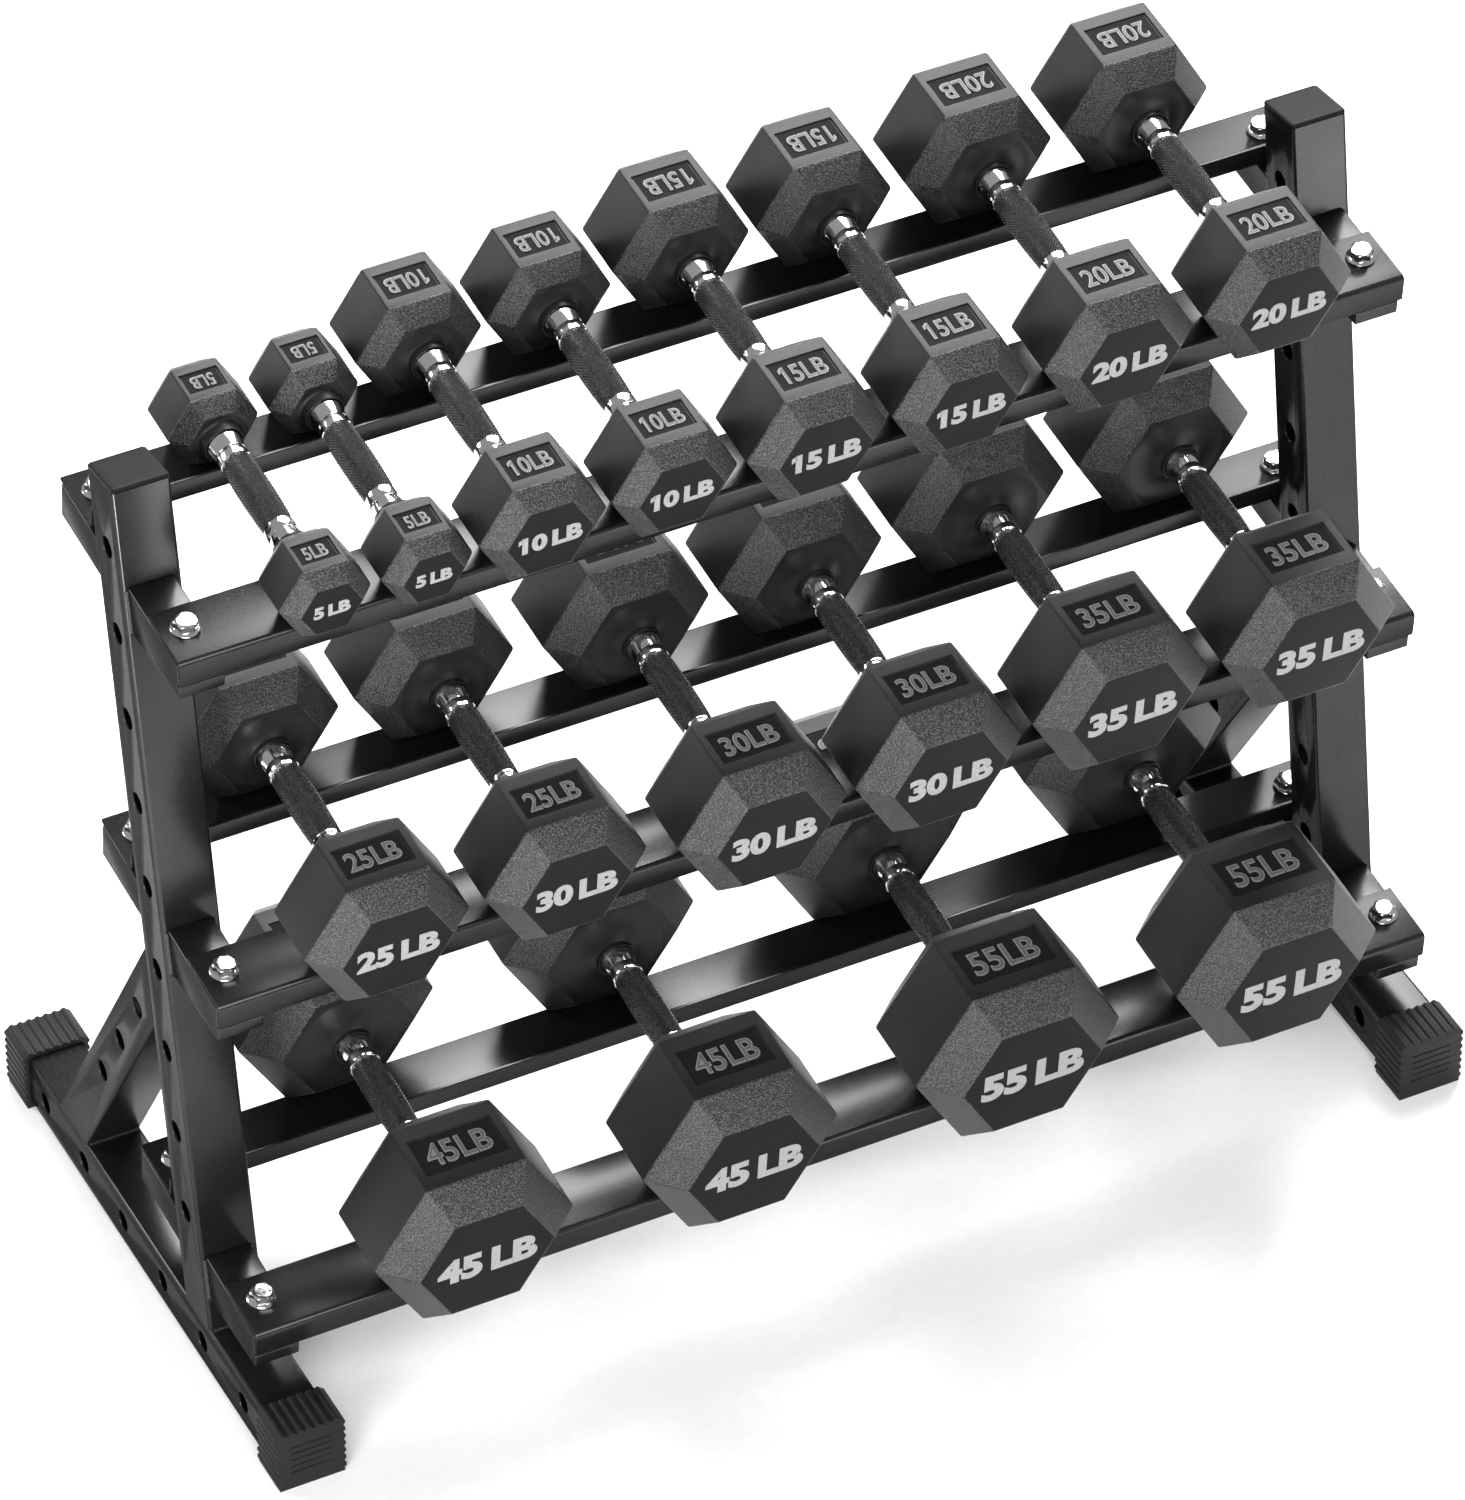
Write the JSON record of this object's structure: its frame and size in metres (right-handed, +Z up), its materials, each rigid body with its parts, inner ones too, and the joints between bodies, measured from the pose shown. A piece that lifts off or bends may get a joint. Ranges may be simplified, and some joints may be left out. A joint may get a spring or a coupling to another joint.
{
  "type": "dumbbell rack",
  "caption": "Tiered steel dumbbell rack with leaning uprights, sloping angle-rail shelves and a graded set of rubber hex dumbbells that lift off.",
  "frame": {"origin": "centre of the footprint box, on the floor", "axes": "+X along the shelves from the lightest towards the heavier dumbbells, +Y towards the back of the rack, +Z up"},
  "size_m": [0.9984, 0.5239, 0.8181],
  "materials": {
    "powder_coat": "satin",
    "zinc_plate": "satin",
    "cap_plastic": "satin",
    "foot_rubber": "matte",
    "hex_head": "matte",
    "chrome_handle": "polished"
  },
  "bodies": {
    "rack": {"base_tube_left": "powder_coat", "upright_left": "powder_coat", "rear_strut_left": "powder_coat", "top_cap_left": "cap_plastic", "foot_cap_front_left": "foot_rubber", "foot_cap_rear_left": "foot_rubber", "base_tube_right": "powder_coat", "upright_right": "powder_coat", "rear_strut_right": "powder_coat", "top_cap_right": "cap_plastic", "foot_cap_front_right": "foot_rubber", "foot_cap_rear_right": "foot_rubber", "rail_front_top": "powder_coat", "arm_front_top_left": "powder_coat", "bolt_front_top_left": "zinc_plate", "arm_front_top_right": "powder_coat", "bolt_front_top_right": "zinc_plate", "rail_rear_top": "powder_coat", "arm_rear_top_left": "powder_coat", "bolt_rear_top_left": "zinc_plate", "arm_rear_top_right": "powder_coat", "bolt_rear_top_right": "zinc_plate", "rail_front_middle": "powder_coat", "arm_front_middle_left": "powder_coat", "bolt_front_middle_left": "zinc_plate", "arm_front_middle_right": "powder_coat", "bolt_front_middle_right": "zinc_plate", "rail_rear_middle": "powder_coat", "arm_rear_middle_left": "powder_coat", "bolt_rear_middle_left": "zinc_plate", "arm_rear_middle_right": "powder_coat", "bolt_rear_middle_right": "zinc_plate", "rail_front_bottom": "powder_coat", "arm_front_bottom_left": "powder_coat", "bolt_front_bottom_left": "zinc_plate", "arm_front_bottom_right": "powder_coat", "bolt_front_bottom_right": "zinc_plate", "rail_rear_bottom": "powder_coat", "arm_rear_bottom_left": "powder_coat", "bolt_rear_bottom_left": "zinc_plate", "arm_rear_bottom_right": "powder_coat", "bolt_rear_bottom_right": "zinc_plate"},
    "dumbbell_05_a": {"dumbbell_05_a": "hex_head"},
    "dumbbell_05_b": {"dumbbell_05_b": "hex_head"},
    "dumbbell_10_a": {"dumbbell_10_a": "hex_head"},
    "dumbbell_10_b": {"dumbbell_10_b": "hex_head"},
    "dumbbell_15_a": {"dumbbell_15_a": "hex_head"},
    "dumbbell_15_b": {"dumbbell_15_b": "hex_head"},
    "dumbbell_20_a": {"dumbbell_20_a": "hex_head"},
    "dumbbell_20_b": {"dumbbell_20_b": "hex_head"},
    "dumbbell_25_a": {"dumbbell_25_a": "hex_head"},
    "dumbbell_25_b": {"dumbbell_25_b": "hex_head"},
    "dumbbell_30_a": {"dumbbell_30_a": "hex_head"},
    "dumbbell_30_b": {"dumbbell_30_b": "hex_head"},
    "dumbbell_35_a": {"dumbbell_35_a": "hex_head"},
    "dumbbell_35_b": {"dumbbell_35_b": "hex_head"},
    "dumbbell_45_a": {"dumbbell_45_a": "hex_head"},
    "dumbbell_45_b": {"dumbbell_45_b": "hex_head"},
    "dumbbell_55_a": {"dumbbell_55_a": "hex_head"},
    "dumbbell_55_b": {"dumbbell_55_b": "hex_head"}
  },
  "joints": [
    {"name": "lift_05_a", "type": "slide", "parent": "rack", "child": "dumbbell_05_a", "axis": [0, 0, 1], "range_m": [0, 0.2]},
    {"name": "lift_05_b", "type": "slide", "parent": "rack", "child": "dumbbell_05_b", "axis": [0, 0, 1], "range_m": [0, 0.2]},
    {"name": "lift_10_a", "type": "slide", "parent": "rack", "child": "dumbbell_10_a", "axis": [0, 0, 1], "range_m": [0, 0.2]},
    {"name": "lift_10_b", "type": "slide", "parent": "rack", "child": "dumbbell_10_b", "axis": [0, 0, 1], "range_m": [0, 0.2]},
    {"name": "lift_15_a", "type": "slide", "parent": "rack", "child": "dumbbell_15_a", "axis": [0, 0, 1], "range_m": [0, 0.2]},
    {"name": "lift_15_b", "type": "slide", "parent": "rack", "child": "dumbbell_15_b", "axis": [0, 0, 1], "range_m": [0, 0.2]},
    {"name": "lift_20_a", "type": "slide", "parent": "rack", "child": "dumbbell_20_a", "axis": [0, 0, 1], "range_m": [0, 0.2]},
    {"name": "lift_20_b", "type": "slide", "parent": "rack", "child": "dumbbell_20_b", "axis": [0, 0, 1], "range_m": [0, 0.2]},
    {"name": "lift_25_a", "type": "slide", "parent": "rack", "child": "dumbbell_25_a", "axis": [0, -0.8704, 0.4924], "range_m": [0, 0.33]},
    {"name": "lift_25_b", "type": "slide", "parent": "rack", "child": "dumbbell_25_b", "axis": [0, -0.8704, 0.4924], "range_m": [0, 0.33]},
    {"name": "lift_30_a", "type": "slide", "parent": "rack", "child": "dumbbell_30_a", "axis": [0, -0.8704, 0.4924], "range_m": [0, 0.33]},
    {"name": "lift_30_b", "type": "slide", "parent": "rack", "child": "dumbbell_30_b", "axis": [0, -0.8704, 0.4924], "range_m": [0, 0.33]},
    {"name": "lift_35_a", "type": "slide", "parent": "rack", "child": "dumbbell_35_a", "axis": [0, -0.8704, 0.4924], "range_m": [0, 0.33]},
    {"name": "lift_35_b", "type": "slide", "parent": "rack", "child": "dumbbell_35_b", "axis": [0, -0.8704, 0.4924], "range_m": [0, 0.33]},
    {"name": "lift_45_a", "type": "slide", "parent": "rack", "child": "dumbbell_45_a", "axis": [0, -0.9588, 0.284], "range_m": [0, 0.34]},
    {"name": "lift_45_b", "type": "slide", "parent": "rack", "child": "dumbbell_45_b", "axis": [0, -0.9588, 0.284], "range_m": [0, 0.34]},
    {"name": "lift_55_a", "type": "slide", "parent": "rack", "child": "dumbbell_55_a", "axis": [0, -0.9588, 0.284], "range_m": [0, 0.34]},
    {"name": "lift_55_b", "type": "slide", "parent": "rack", "child": "dumbbell_55_b", "axis": [0, -0.9588, 0.284], "range_m": [0, 0.34]}
  ]
}
